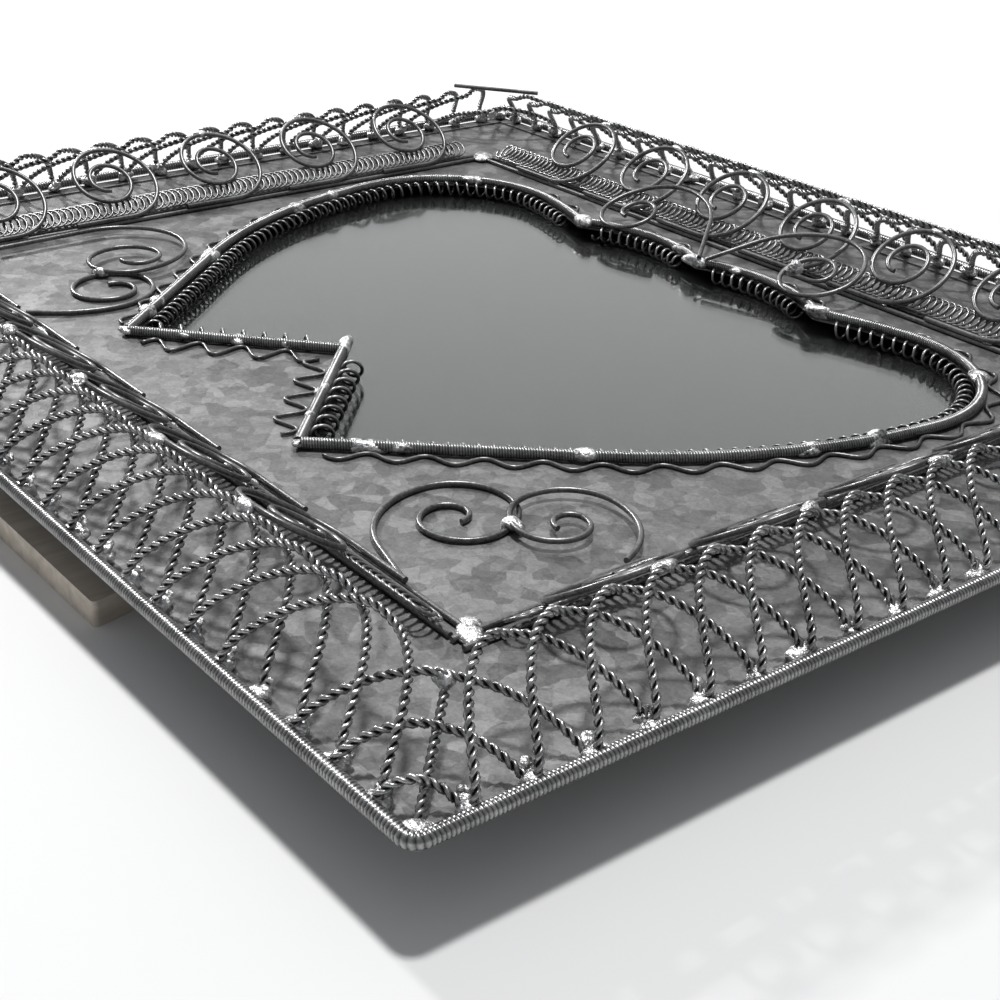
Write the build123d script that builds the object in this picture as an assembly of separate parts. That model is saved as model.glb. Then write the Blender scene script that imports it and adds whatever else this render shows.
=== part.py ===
from build123d import *
import os
from math import acos, atan2, cos, degrees, hypot, pi, radians, sin

# A display frame of tin and wire, wider than it is high, lying on its back. The heart opening
# points its notch to -Y and its lobes to +Y. All lengths are in millimetres.

# Clearances and the overrun of every cut
wire_gap = 0.05
stack_gap = 0.1
joint_gap = 0.05
overrun = 2.0

# The stack of flat pieces, from the ground up
strut_thickness = 5.2
board_height = 6.0
board_thickness = 1.6
card_thickness = 0.4
glass_thickness = 2.0
glass_drop = 3.0
face_height = 13.2

# The tin face and its folded hem
rim_half_width = 152.4
rim_half_height = 127.0
tin_inset = 0.8
tin_corner_radius = 1.4
tin_thickness = 0.5
hem_width = 4.7
hem_thickness = 0.5

# The rim rod: a core with a tight winding
rim_corner_radius = 2.2
rim_core_radius = 0.9
rim_winding_radius = 1.4
rim_bead_radius = 2.1
rim_bead_lift = 1.4

# The lattice of twisted wire that leans in from the rim
lattice_wire_radius = 0.85
lattice_layer_gap = 0.2
lattice_length = 22.5
lattice_foot_angle = 50
lattice_apex_angle = 25
lattice_foot_gap = 0.3
lattice_fullness = 0.78
lattice_ramp_share = 0.16
lattice_segments = 14
upright_pitches = 23
upright_span = 3
level_pitches = 29
level_span = 4
corner_arch_count = 3
corner_foot_gap = 1.0
corner_foot_step = 1.0
corner_far_foot_step = 2.8
corner_base_height = 2.3
corner_height_share = 0.15
corner_leg_start = 3.8
corner_leg_drop = 3.0
corner_bead_start = 3.0
corner_top_bead_radius = 1.7
corner_tie_radius = 0.6
corner_tie_reach = 5.5
corner_tie_gap = 0.3

# The inner slope: base wires, a flat coil strip and a row of scrolls
border_width = 39.4
base_wire_radius = 0.6
base_wire_step = 3.2
scroll_wire_radius = 0.6
ridge_gap = 0.2
strip_width = 6.2
strip_thickness = 1.2
strip_start = 1.5
strip_end_gap = 2.0
upright_scroll_count = 5
level_scroll_count = 6
scroll_pitches = 3
scroll_lead = 16.0
scroll_inner_shares = (0.83, 0.68, 0.57, 0.49, 0.41, 0.34)
quarter_turn = 90
slope_bead_radius = 1.6
corner_bead_radius = 3.2

# The heart: its outline in shares of half the space inside the base wires, and its wound rod
notch_share = (0, -0.433)
tip_share = (0.327, -0.831)
flank_share = (0.655, -0.342)
widest_share = (0.925, 0.457)
crown_share = (0.584, 0.868)
cusp_share = (0.389, 0.799)
small_lobe_share = (0.186, 0.879)
cleft_share = (0, 0.829)
opening_inset = 1.0
heart_core_radius = 0.65
heart_winding_radius = 1.25
winding_corner_trim = 3.3

# The open coil inside the heart rod and the waved wire outside it
coil_radius = 2.0
coil_inset = 3.35
coil_sink = 0.7
coil_corner_trim = 7.5
coil_steps = 24
wave_wire_radius = 0.5
wave_length = 11.75
wave_height = 1.7
notch_wave_length = 10.0
notch_wave_height = 2.9
wave_corner_trim = 9.0
wave_steps = 6

# Solder on the heart, in the same shares, with three bead sizes
large_bead_radius = 3.4
middle_bead_radius = 2.6
small_bead_radius = 2.1
large_bead_shares = [tip_share, cusp_share, notch_share, cleft_share]
middle_bead_shares = [
    (0.42, -0.69),
    (0.70, -0.255),
    (0.868, 0.11),
    (0.905, 0.286),
    (0.803, 0.774),
    (0.09, 0.86),
]
small_bead_shares = [(0.155, -0.622), (0.085, -0.537), (0.245, -0.731)]

# Scrolls on the tin in the two lower corners. Each has its start in the shares above, its
# heading, the way it turns, then its lead, its first turn and its radii. Lead and radii are
# shares of the mean of the two halves
right_low_scroll_share = (
    (0.81, -0.985), 165, -1, 0.11, 75, (0.2, 0.114, 0.118, 0.087, 0.068, 0.041, 0.036))
right_high_scroll_share = (
    (0.985, -0.6), 115, 1, 0.027, 65, (0.19, 0.109, 0.109, 0.073, 0.055, 0.03, 0.036))
left_low_scroll_share = (
    (-0.55, -0.982), 55, 1, 0.059, 33, (0.272, 0.141, 0.092, 0.101, 0.078, 0.063, 0.044))
left_high_scroll_share = (
    (-0.943, -0.85), 92, -1, 0.26, 95, (0.165, 0.198, 0.088, 0.107, 0.082, 0.063, 0.044))
corner_scroll_bead_radius = 1.9
corner_scroll_bead_shares = [(0.782, -0.685), (-0.68, -0.685)]

# The pair of scrolls over the cleft, on a plane that rises outward from the cleft
centre_place_share = (0.02, 0.8)
centre_tilt = 19
centre_height = 2.3
right_centre_scroll_share = (
    (0.01, 0.02), 65, -1, 0.129, 65, (0.227, 0.144, 0.105, 0.083, 0.071, 0.053, 0.037))
left_centre_scroll_share = (
    (-0.01, 0.02), 125, 1, 0.166, 55, (0.227, 0.151, 0.09, 0.076, 0.061, 0.046, 0.034))
centre_bead_radius = 2.0
centre_bead_share = (0.217, 0.12)

# The glass, the card and the board behind it, and the wooden rails round them
glass_clearance = 0.5
rail_wall = 11.5
rail_lip = 4.0
tab_thickness = 0.4
tab_width = 12.0
tab_foot = 8.0
tab_grip = 4.0
side_tab_share = 0.82
level_tab_share = 0.7

# The turn buttons that hold the board in
button_place = 50.0
button_reach = 13.0
button_width = 8.0
button_thickness = 1.2
button_gap = 0.2
screw_shank_radius = 1.5
screw_head_radius = 2.8
screw_head_height = 1.0
screw_depth = 4.5
running_gap = 0.05

# The easel strut and its hinge
strut_foot_half = 56.0
strut_top_half = 20.0
strut_foot_inset = 0.4
strut_length = 170.0
strut_edge_radius = 1.0
hinge_radius = 1.6
hinge_pin_radius = 0.8
hinge_leaf_thickness = 0.5
hinge_leaf_length = 14.0
hinge_knuckle_width = 12.0
hinge_side_gap = 0.2
hinge_end_gap = 0.3
hinge_screw_radius = 0.9
hinge_screw_head_radius = 1.6
hinge_screw_place = 9.0
hinge_screw_inset = 9.0
strut_screw_depth = 3.5
board_screw_depth = 1.2

# Heights that follow from the stack
tin_bottom = face_height - tin_thickness
hem_top = face_height + hem_thickness
glass_top = face_height - glass_drop
rail_back = board_height - stack_gap
rail_front = tin_bottom - stack_gap
card_bottom = board_height + board_thickness + stack_gap
rim_height = hem_top + wire_gap + rim_winding_radius
heart_height = face_height + wire_gap + heart_winding_radius

# Places that follow from the rim. The glass reaches as far as the base wires
tin_half_width = rim_half_width - tin_inset
tin_half_height = rim_half_height - tin_inset
base_half_width = rim_half_width - border_width
base_half_height = rim_half_height - border_width
base_half_mean = (base_half_width + base_half_height) / 2
glass_half_width = base_half_width
glass_half_height = base_half_height
strut_foot_place = strut_foot_inset - rim_half_height
strut_top_place = strut_foot_place + strut_length


class Side:
    """One side of the frame, built as a right side and turned about the vertical. Its reach
    is how far it lies from the middle."""

    def __init__(self, turn, reach, half_length, pitches, span, scroll_count):
        self.turn = turn
        self.reach = reach
        self.half_length = half_length
        self.pitches = pitches
        self.pitch = 2 * half_length / pitches
        self.span = span
        self.scroll_count = scroll_count
        self.base_reach = reach - border_width
        self.base_half = half_length - border_width


upright = (rim_half_width, rim_half_height, upright_pitches, upright_span, upright_scroll_count)
level = (rim_half_height, rim_half_width, level_pitches, level_span, level_scroll_count)
sides = {
    "right": Side(0, *upright),
    "top": Side(90, *level),
    "left": Side(180, *upright),
    "bottom": Side(270, *level),
}


def save(name, *solids):
    export_step(Compound(children=list(solids)), f"parts/{name}.step")


def turned(shape, side):
    return Rot(0, 0, side.turn) * shape


def both(shapes):
    """The shapes of the right half with their mirror images."""
    return shapes + [shape.mirror(Plane.YZ) for shape in shapes]


def block(low, high):
    """A box between two opposite corners."""
    size = [b - a for a, b in zip(low, high)]
    middle = [(a + b) / 2 for a, b in zip(low, high)]
    return Pos(*middle) * Box(*size)


def tube(path, radius, bore=0):
    """A round wire, or a sleeve with a bore, along a smooth path."""
    section = Circle(radius)
    if bore:
        section -= Circle(bore)
    return sweep(Plane(origin=path @ 0, z_dir=path % 0) * section, path=path)


def faceted_tube(points, radius):
    """A round wire along short straight runs, mitred at every point."""
    path = Polyline(*points)
    section = Plane(origin=path @ 0, z_dir=path % 0) * Circle(radius)
    return sweep(section, path=path, transition=Transition.RIGHT)


def bead(place, radius, floor):
    """A drop of solder, flat where it meets what lies under it."""
    ball = Pos(*place) * Sphere(radius)
    return split(ball, bisect_by=Plane.XY.offset(floor), keep=Keep.TOP)


def scroll_path(start, heading, way, lead, first_turn, radii):
    """A straight lead, a first turn, then quarter turns of ever smaller radius."""
    ahead = Vector(cos(radians(heading)), sin(radians(heading)))
    edges = [Line(start, Vector(*start) + ahead * lead)]
    turn = first_turn
    for radius in radii:
        last = edges[-1]
        edges.append(JernArc(last @ 1, last % 1, radius, way * turn))
        turn = quarter_turn
    return Wire(edges)


def scaled(share):
    return (share[0] * base_half_width, share[1] * base_half_height)


# The curved surface that the lattice lies on
def surface_angle(climb):
    fall = radians(lattice_foot_angle - lattice_apex_angle)
    return radians(lattice_foot_angle) - fall * climb / lattice_length


def surface_place(climb, offset):
    """How far in from the rim and how high a point of the surface lies."""
    bend = lattice_length / radians(lattice_foot_angle - lattice_apex_angle)
    foot = radians(lattice_foot_angle)
    angle = surface_angle(climb)
    inward = bend * (sin(foot) - sin(angle)) - offset * sin(angle)
    height = bend * (cos(angle) - cos(foot)) + offset * cos(angle)
    return inward, height


def arch_points(first, second, height, foot_gap):
    """One arch between two feet on the rim. Its first half runs over the others and its
    second half under them."""
    middle = (first + second) / 2
    half = (second - first) / 2
    inward_way = Vector(-half.Y, half.X).normalized()
    layer = lattice_wire_radius + lattice_layer_gap / 2
    foot_climb = rim_winding_radius + foot_gap
    last_angle = acos((foot_climb / height) ** (1 / (2 * lattice_fullness)))
    points = []
    for step in range(lattice_segments + 1):
        angle = last_angle * (2 * step / lattice_segments - 1)
        share = sin(angle) / sin(last_angle)
        over = -layer * max(-1, min(1, share / lattice_ramp_share))
        inward, rise = surface_place(height * cos(angle) ** (2 * lattice_fullness), over)
        foot = middle + half * share + inward_way * inward
        points.append((foot.X, foot.Y, rim_height + rise))
    return points


def side_arches(side):
    arches = []
    for start in range(1, side.pitches - side.span):
        low = Vector(side.reach, start * side.pitch - side.half_length)
        high = Vector(side.reach, (start + side.span) * side.pitch - side.half_length)
        arches.append(arch_points(low, high, lattice_length, lattice_foot_gap))
    return arches


def corner_feet(side, next_side, number):
    """The feet of a corner arch, each a step nearer the corner than its drop of solder."""
    low = Vector(side.reach, side.half_length - number * side.pitch + corner_foot_step)
    far_along = number * next_side.pitch - corner_far_foot_step
    high = Vector(side.reach - far_along, side.half_length)
    return low, high


def corner_height(low, high):
    return corner_base_height + corner_height_share * (high - low).length


def corner_arches(side, next_side):
    """The small arches that bridge the corner at the end of a side."""
    arches = []
    for number in range(1, corner_arch_count + 1):
        low, high = corner_feet(side, next_side, number)
        arches.append(arch_points(low, high, corner_height(low, high), corner_foot_gap))
    return arches


def corner_apex(side, next_side):
    """The top of the last corner arch."""
    low, high = corner_feet(side, next_side, corner_arch_count)
    half = (high - low) / 2
    inward, rise = surface_place(corner_height(low, high), 0)
    apex = (low + high) / 2 + Vector(-half.Y, half.X).normalized() * inward
    return Vector(apex.X, apex.Y, rim_height + rise)


def from_corner(side, apex, distance):
    """A place beside the rim, so far from its corner towards the apex over the last arch."""
    corner = Vector(side.reach, side.half_length, rim_height)
    flat_apex = Vector(apex.X, apex.Y, rim_height)
    return corner + (flat_apex - corner).normalized() * distance


def corner_leg(side, next_side):
    """A straight wire from the corner of the rim, under the tops of the corner arches."""
    apex = corner_apex(side, next_side)
    foot = from_corner(side, apex, corner_leg_start)
    return tube(Line(foot, apex - Vector(0, 0, corner_leg_drop)), lattice_wire_radius)


apex_inward, apex_rise = surface_place(lattice_length, 0)
apex_height = rim_height + apex_rise

# The tin face with its hem and the heart opening
heart_right = [
    Line(scaled(notch_share), scaled(tip_share)),
    Line(scaled(tip_share), scaled(flank_share)),
]
for share in (widest_share, crown_share, cusp_share):
    before = heart_right[-1]
    heart_right.append(TangentArc(before @ 1, scaled(share), tangent=before % 1))
heart_right.append(ThreePointArc(scaled(cusp_share), scaled(small_lobe_share), scaled(cleft_share)))
heart_outline = Wire(both(heart_right))


def tin_sheet():
    whole = RectangleRounded(2 * tin_half_width, 2 * tin_half_height, tin_corner_radius)
    hem = whole - Rectangle(2 * (tin_half_width - hem_width), 2 * (tin_half_height - hem_width))
    sheet = Pos(0, 0, tin_bottom) * extrude(whole, tin_thickness)
    sheet += Pos(0, 0, face_height) * extrude(hem, hem_thickness)
    opening = make_face(heart_outline.offset_2d(-opening_inset, kind=Kind.ARC))
    return sheet - Pos(0, 0, tin_bottom - overrun) * extrude(opening, tin_thickness + 2 * overrun)


def rim_path():
    outline = RectangleRounded(2 * rim_half_width, 2 * rim_half_height, rim_corner_radius)
    return Pos(0, 0, rim_height) * outline.wire()


def rim_beads(side):
    inward, rise = surface_place(rim_bead_lift, 0)
    beads = []
    for number in range(1, side.pitches):
        along = number * side.pitch - side.half_length
        place = (side.reach - inward, along, rim_height + rise)
        beads.append(turned(bead(place, rim_bead_radius, hem_top + wire_gap), side))
    return beads


save("tin_panel", tin_sheet())
save("rim_core", tube(rim_path(), rim_core_radius))
save("rim_winding", tube(rim_path(), rim_winding_radius, rim_core_radius))

beads = []
for name, side in sides.items():
    beads += rim_beads(side)
    arches = [turned(faceted_tube(points, lattice_wire_radius), side) for points in side_arches(side)]
    save(f"lattice_{name}", *arches)

corner_sides = {
    "top_right": ("right", "top"),
    "top_left": ("top", "left"),
    "bottom_left": ("left", "bottom"),
    "bottom_right": ("bottom", "right"),
}
for corner, (name, next_name) in corner_sides.items():
    side = sides[name]
    next_side = sides[next_name]
    arches = [turned(faceted_tube(points, lattice_wire_radius), side)
              for points in corner_arches(side, next_side)]
    save(f"lattice_corner_{corner}", *arches, turned(corner_leg(side, next_side), side))
    apex = corner_apex(side, next_side)
    low_bead = bead(from_corner(side, apex, corner_bead_start), rim_bead_radius, hem_top + wire_gap)
    top_place = apex - Vector(0, 0, corner_leg_drop / 2)
    beads += [turned(low_bead, side), turned(Pos(*top_place) * Sphere(corner_top_bead_radius), side)]
save("rim_solder", *beads)


# The inner slope, between the base wires on the tin and the tops of the arches
base_wire_height = face_height + wire_gap + base_wire_radius
slope_height = base_wire_height + base_wire_radius + wire_gap + scroll_wire_radius
ridge_step = lattice_wire_radius + scroll_wire_radius + ridge_gap
slope_run = border_width - apex_inward - ridge_step
slope_angle = degrees(atan2(apex_height - slope_height, slope_run))
slope_length = hypot(apex_height - slope_height, slope_run)


def slope_plane(side):
    return Plane(
        origin=(side.base_reach, 0, slope_height),
        x_dir=(0, 1, 0),
        z_dir=(sin(radians(slope_angle)), 0, -cos(radians(slope_angle))),
    )


def scroll_middles(side):
    """The scrolls stand a whole number of pitches apart, each under the top of an arch."""
    spacing = scroll_pitches * side.pitch
    return [(number - (side.scroll_count - 1) / 2) * spacing for number in range(side.scroll_count)]


def side_scrolls(side):
    outer = slope_length / 2
    radii = [outer, outer] + [share * outer for share in scroll_inner_shares]
    wires = []
    for middle in scroll_middles(side):
        path = scroll_path((middle + scroll_lead, 0), 180, -1, scroll_lead, quarter_turn, radii)
        wires.append(tube(slope_plane(side) * path, scroll_wire_radius))
    return wires


def slope_beads(side):
    """Solder at the foot and the top of every scroll."""
    beads = []
    for middle in scroll_middles(side):
        low = (side.base_reach + base_wire_step / 2, middle, base_wire_height)
        high = (side.reach - apex_inward - ridge_step / 2, middle, apex_height)
        beads.append(bead(low, slope_bead_radius, face_height + wire_gap))
        beads.append(Pos(*high) * Sphere(slope_bead_radius))
    return beads


def coil_strip(side):
    """The flattened coil, as a flat strip under the scrolls."""
    drop = scroll_wire_radius + wire_gap
    half = side.base_half - strip_end_gap
    strip = block((-half, strip_start, drop), (half, strip_start + strip_width, drop + strip_thickness))
    return slope_plane(side) * strip


def base_wires(side, half):
    wires = []
    for place in (side.base_reach, side.base_reach + base_wire_step):
        path = Line((place, -half, base_wire_height), (place, half, base_wire_height))
        wires.append(tube(path, base_wire_radius))
    return wires


slope_solder = []
for name, side in sides.items():
    through_half = side.base_half + base_wire_step + base_wire_radius
    butted_half = side.base_half - 2 * base_wire_radius - wire_gap
    half = through_half if name in ("right", "left") else butted_half
    save(f"side_scrolls_{name}", *[turned(wire, side) for wire in side_scrolls(side)])
    save(f"coil_strip_{name}", turned(coil_strip(side), side))
    save(f"base_wires_{name}", *[turned(wire, side) for wire in base_wires(side, half)])
    slope_solder += [turned(drop, side) for drop in slope_beads(side)]
    corner_place = (side.base_reach, side.base_half, base_wire_height)
    slope_solder.append(turned(bead(corner_place, corner_bead_radius, face_height + wire_gap), side))
save("slope_solder", *slope_solder)


def corner_tie():
    """A plain wire over the tops of the last two big arches at the top left corner."""
    top, left = sides["top"], sides["left"]
    height = apex_height + lattice_wire_radius + corner_tie_gap + corner_tie_radius
    low = Vector(apex_inward - left.reach, left.half_length - (1 + left.span / 2) * left.pitch, height)
    high = Vector((1 + top.span / 2) * top.pitch - top.half_length, top.reach - apex_inward, height)
    reach = (high - low).normalized() * corner_tie_reach
    return tube(Line(low - reach, high + reach), corner_tie_radius)


save("corner_tie", corner_tie())


# The wound rod of the heart: three stretches on each half, between its sharp corners
def trimmed(wire, start, end):
    return wire.trim(start / wire.length, 1 - end / wire.length)


heart_stretches = [
    Wire(heart_right[0]),
    Wire(heart_right[1:5]),
    Wire(heart_right[5]),
]


def heart_core():
    core = [tube(stretch, heart_core_radius) for stretch in heart_stretches]
    for share in (notch_share, tip_share, cusp_share, cleft_share):
        core.append(Pos(*scaled(share)) * Sphere(heart_core_radius))
    whole = both(core)
    return Pos(0, 0, heart_height) * whole[0].fuse(*whole[1:])


def heart_winding():
    sleeves = []
    for stretch in heart_stretches:
        short = trimmed(stretch, winding_corner_trim, winding_corner_trim)
        sleeve = tube(short, heart_winding_radius, heart_core_radius)
        sleeves.append(Pos(0, 0, heart_height) * sleeve)
    return both(sleeves)


def beside(stretch, share, outward, height):
    """A point at a distance outward from the rod, seen from above."""
    place = stretch @ share
    way = stretch % share
    return (place.X + outward * way.Y, place.Y - outward * way.X, height)


def heart_coil():
    """The coil in the opening, as a smooth tube of its outer size."""
    height = face_height - coil_sink
    tubes = []
    for stretch in heart_stretches:
        trim = coil_corner_trim / stretch.length
        points = []
        for step in range(coil_steps + 1):
            share = trim + (1 - 2 * trim) * step / coil_steps
            points.append(beside(stretch, share, -coil_inset, height))
        tubes.append(faceted_tube(points, coil_radius))
    return both(tubes)


def wave(stretch, length, height):
    """A waved wire on the tin, its troughs against the rod."""
    run = stretch.length - 2 * wave_corner_trim
    waves = max(1, round(run / length))
    middle = heart_winding_radius + wire_gap + wave_wire_radius + height
    points = []
    for step in range(waves * wave_steps + 1):
        share = (wave_corner_trim + run * step / (waves * wave_steps)) / stretch.length
        outward = middle + height * sin(2 * pi * step / wave_steps)
        points.append(beside(stretch, share, outward, face_height + wire_gap + wave_wire_radius))
    return faceted_tube(points, wave_wire_radius)


def waved_wire():
    notch_wave = wave(heart_stretches[0], notch_wave_length, notch_wave_height)
    flank_wave = wave(heart_stretches[1], wave_length, wave_height)
    lobe_wave = wave(heart_stretches[2], wave_length, wave_height)
    return both([notch_wave, flank_wave, lobe_wave])


def heart_beads():
    sizes = (
        (large_bead_radius, large_bead_shares),
        (middle_bead_radius, middle_bead_shares),
        (small_bead_radius, small_bead_shares),
    )
    floor = face_height + wire_gap
    beads = []
    for radius, shares in sizes:
        for share in shares:
            place = (*scaled(share), heart_height)
            beads.append(bead(place, radius, floor))
            if share[0]:
                beads.append(beads[-1].mirror(Plane.YZ))
    return beads


save("heart_core", heart_core())
save("heart_winding", *heart_winding())
save("heart_coil", *heart_coil())
save("waved_wire", *waved_wire())
save("heart_solder", *heart_beads())


# The flat scrolls on the tin. The second wire of a corner lies over the first
def shared_scroll(share):
    start, heading, way, lead_share, first_turn, radius_shares = share
    radii = [radius_share * base_half_mean for radius_share in radius_shares]
    return scroll_path(scaled(start), heading, way, lead_share * base_half_mean, first_turn, radii)


def corner_scrolls():
    low = face_height + wire_gap + scroll_wire_radius
    high = low + 2 * scroll_wire_radius + wire_gap
    wires = []
    for height, share in (
        (low, right_low_scroll_share),
        (high, right_high_scroll_share),
        (low, left_low_scroll_share),
        (high, left_high_scroll_share),
    ):
        wires.append(tube(Pos(0, 0, height) * shared_scroll(share), scroll_wire_radius))
    return wires


centre_plane = Plane(
    origin=(*scaled(centre_place_share), face_height + centre_height),
    x_dir=(1, 0, 0),
    z_dir=(0, -sin(radians(centre_tilt)), cos(radians(centre_tilt))),
)


def centre_scrolls():
    shares = (right_centre_scroll_share, left_centre_scroll_share)
    return [tube(centre_plane * shared_scroll(share), scroll_wire_radius) for share in shares]


def corner_scroll_beads():
    """Solder where the two wires of a corner cross."""
    height = face_height + 2 * (wire_gap + scroll_wire_radius)
    return [bead((*scaled(share), height), corner_scroll_bead_radius, face_height + wire_gap)
            for share in corner_scroll_bead_shares]


save("corner_scrolls", *corner_scrolls())
save("corner_scroll_solder", *corner_scroll_beads())
save("centre_scrolls", *centre_scrolls())
save("centre_bead", centre_plane * Pos(*scaled(centre_bead_share)) * Sphere(centre_bead_radius))


# The glass, the card and the board, one behind the other
def pane(height, thickness):
    low = (-glass_half_width, -glass_half_height, height)
    return block(low, (glass_half_width, glass_half_height, height + thickness))


def drill(place, radius, depth):
    """A hole upward from a place."""
    return Pos(*place) * Cylinder(radius, depth, align=(Align.CENTER, Align.CENTER, Align.MIN))


hinge_height = board_height - wire_gap - hinge_radius
hinge_place = strut_top_place + hinge_end_gap + hinge_radius
board_leaf_height = board_height - wire_gap - hinge_leaf_thickness
strut_leaf_height = strut_thickness + wire_gap
board_screw_place = hinge_place + hinge_screw_place
strut_screw_place = hinge_place - hinge_screw_place


def hinge_screw_places(along):
    half = 1.5 * hinge_knuckle_width - hinge_screw_inset
    return [(-half, along), (half, along)]


def countersunk(x, y, low, head_up, depth, gap):
    """A flat screw whose head fills a leaf from low upward, its shank going the other way
    from the wide side of the head."""
    narrow = hinge_screw_radius + gap
    wide = hinge_screw_head_radius + gap
    bottom, top = (narrow, wide) if head_up else (wide, narrow)
    middle = low + hinge_leaf_thickness / 2
    head = Pos(x, y, middle) * Cone(bottom, top, hinge_leaf_thickness)
    if head_up:
        shank = drill((x, y, low - depth), narrow, depth)
    else:
        shank = drill((x, y, low + hinge_leaf_thickness), narrow, depth)
    return head + shank


def board_screws(gap):
    places = hinge_screw_places(board_screw_place)
    depth = board_screw_depth + gap
    return [countersunk(x, y, board_leaf_height, False, depth, gap) for x, y in places]


def strut_screws(gap):
    places = hinge_screw_places(strut_screw_place)
    depth = strut_screw_depth + gap
    return [countersunk(x, y, strut_leaf_height, True, depth, gap) for x, y in places]


save("glass_pane", pane(glass_top - glass_thickness, glass_thickness))
save("display_card", pane(card_bottom, card_thickness))
save("back_board", pane(board_height, board_thickness) - board_screws(wire_gap))

# The rails, rebated round the glass, with a lip in front of it
rebate_half = glass_half_width + glass_clearance
rebate_high = glass_half_height + glass_clearance
rail_half = rebate_half + rail_wall
rail_high = rebate_high + rail_wall
lip_height = glass_top + stack_gap
button_line = rebate_half + rail_wall / 2


def button_places():
    return {
        "upper_right": (button_line, button_place),
        "lower_right": (button_line, -button_place),
        "upper_left": (-button_line, button_place),
        "lower_left": (-button_line, -button_place),
    }


def screw_holes():
    holes = []
    for x, y in button_places().values():
        holes.append(drill((x, y, rail_back - overrun), screw_shank_radius + wire_gap, screw_depth + overrun))
    return holes


def level_rail():
    """The top rail, across the whole width."""
    rail = block((-rail_half, rebate_high, rail_back), (rail_half, rail_high, rail_front))
    lip_low = glass_half_height - rail_lip
    return rail + block((-rebate_half, lip_low, lip_height), (rebate_half, rebate_high, rail_front))


def upright_rail():
    """The right rail, between the other two."""
    high = rebate_high - joint_gap
    rail = block((rebate_half, -high, rail_back), (rail_half, high, rail_front))
    lip_inner = glass_half_width - rail_lip
    lip_high = glass_half_height - rail_lip - joint_gap
    lip = block((lip_inner, -lip_high, lip_height), (rebate_half, lip_high, rail_front))
    return rail + lip - screw_holes()


save("rail_top", level_rail())
save("rail_bottom", level_rail().mirror(Plane.XZ))
save("rail_right", upright_rail())
save("rail_left", upright_rail().mirror(Plane.YZ) - screw_holes())


def tab(outer, along):
    """A folded tin tab that holds a rail to the tin, on the right side."""
    near = outer + wire_gap
    far = near + tab_thickness
    low = rail_back - wire_gap - tab_thickness
    high = tin_bottom - wire_gap
    front = along - tab_width / 2
    back = along + tab_width / 2
    wall = block((near, front, low), (far, back, high))
    foot = block((near, front, high - tab_thickness), (near + tab_foot, back, high))
    grip = block((outer - tab_grip, front, low), (far, back, low + tab_thickness))
    return wall + foot + grip


def tabs():
    found = []
    for name, side in sides.items():
        upright_side = name in ("right", "left")
        outer = rail_half if upright_side else rail_high
        along = side.base_half * (side_tab_share if upright_side else level_tab_share)
        found += [turned(tab(outer, place), side) for place in (along, -along)]
    return found


save("rail_tabs", *tabs())


# The turn buttons, pointing inward over the board, and their screws
def turn_button(x, y):
    way = -1 if x > 0 else 1
    travel = button_reach - button_width / 2
    outline = SlotCenterToCenter(travel, button_width) - Pos(-way * travel / 2, 0) * Circle(
        screw_shank_radius + running_gap)
    low = rail_back - button_gap - button_thickness
    return Pos(x + way * travel / 2, y, low) * extrude(outline, button_thickness)


def button_screw(x, y):
    head_top = rail_back - 2 * button_gap - button_thickness
    head = drill((x, y, head_top - screw_head_height), screw_head_radius, screw_head_height)
    shank_length = rail_back - head_top + screw_depth - wire_gap
    return head + drill((x, y, head_top), screw_shank_radius, shank_length)


for name, (x, y) in button_places().items():
    save(f"turn_button_{name}", turn_button(x, y))
save("turn_button_screws", *[button_screw(x, y) for x, y in button_places().values()])


# The easel strut, tapering from its foot to the hinge, flat against the ground
def strut():
    outline = Polyline(
        (-strut_foot_half, strut_foot_place),
        (strut_foot_half, strut_foot_place),
        (strut_top_half, strut_top_place),
        (-strut_top_half, strut_top_place),
        close=True,
    )
    board = extrude(make_face(outline), strut_thickness)
    board = fillet(board.edges().filter_by(Axis.Z), strut_edge_radius)
    return board - strut_screws(wire_gap)


def knuckle(middle):
    """One knuckle of the hinge, round the pin."""
    ring = Circle(hinge_radius) - Circle(hinge_pin_radius + running_gap)
    width = hinge_knuckle_width - hinge_side_gap
    place = Plane(origin=(middle - width / 2, hinge_place, hinge_height), z_dir=(1, 0, 0))
    return extrude(place * ring, width)


def leaf(way, height, knuckles, screws):
    """One leaf: a plate clear of the other leaf's knuckles, and fingers to its own."""
    half = 1.5 * hinge_knuckle_width - hinge_side_gap / 2
    near = hinge_place + way * (hinge_radius + hinge_end_gap)
    low, high = sorted((near, hinge_place + way * hinge_leaf_length))
    top = height + hinge_leaf_thickness
    plate = block((-half, low, height), (half, high, top))
    finger_half = (hinge_knuckle_width - hinge_side_gap) / 2
    low, high = sorted((hinge_place, near))
    for middle in knuckles:
        plate += block((middle - finger_half, low, height), (middle + finger_half, high, top))
        plate += knuckle(middle)
    bore = Pos(0, hinge_place, hinge_height) * Rot(0, 90, 0) * Cylinder(
        hinge_pin_radius + running_gap, 2 * half + overrun)
    return plate - bore - screws


def hinge_pin():
    length = 3 * hinge_knuckle_width - hinge_side_gap
    return Pos(0, hinge_place, hinge_height) * Rot(0, 90, 0) * Cylinder(hinge_pin_radius, length)


outer_knuckles = [-hinge_knuckle_width, hinge_knuckle_width]
save("easel_strut", strut())
save("hinge_leaf_board", leaf(1, board_leaf_height, outer_knuckles, board_screws(wire_gap)))
save("hinge_leaf_strut", leaf(-1, strut_leaf_height, [0], strut_screws(wire_gap)))
save("hinge_pin", hinge_pin())
save("hinge_screws_board", *board_screws(0))
save("hinge_screws_strut", *strut_screws(0))
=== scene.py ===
from math import cos, pi, radians, sin

import bpy
import numpy as np
from mathutils import Matrix, Vector


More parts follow.
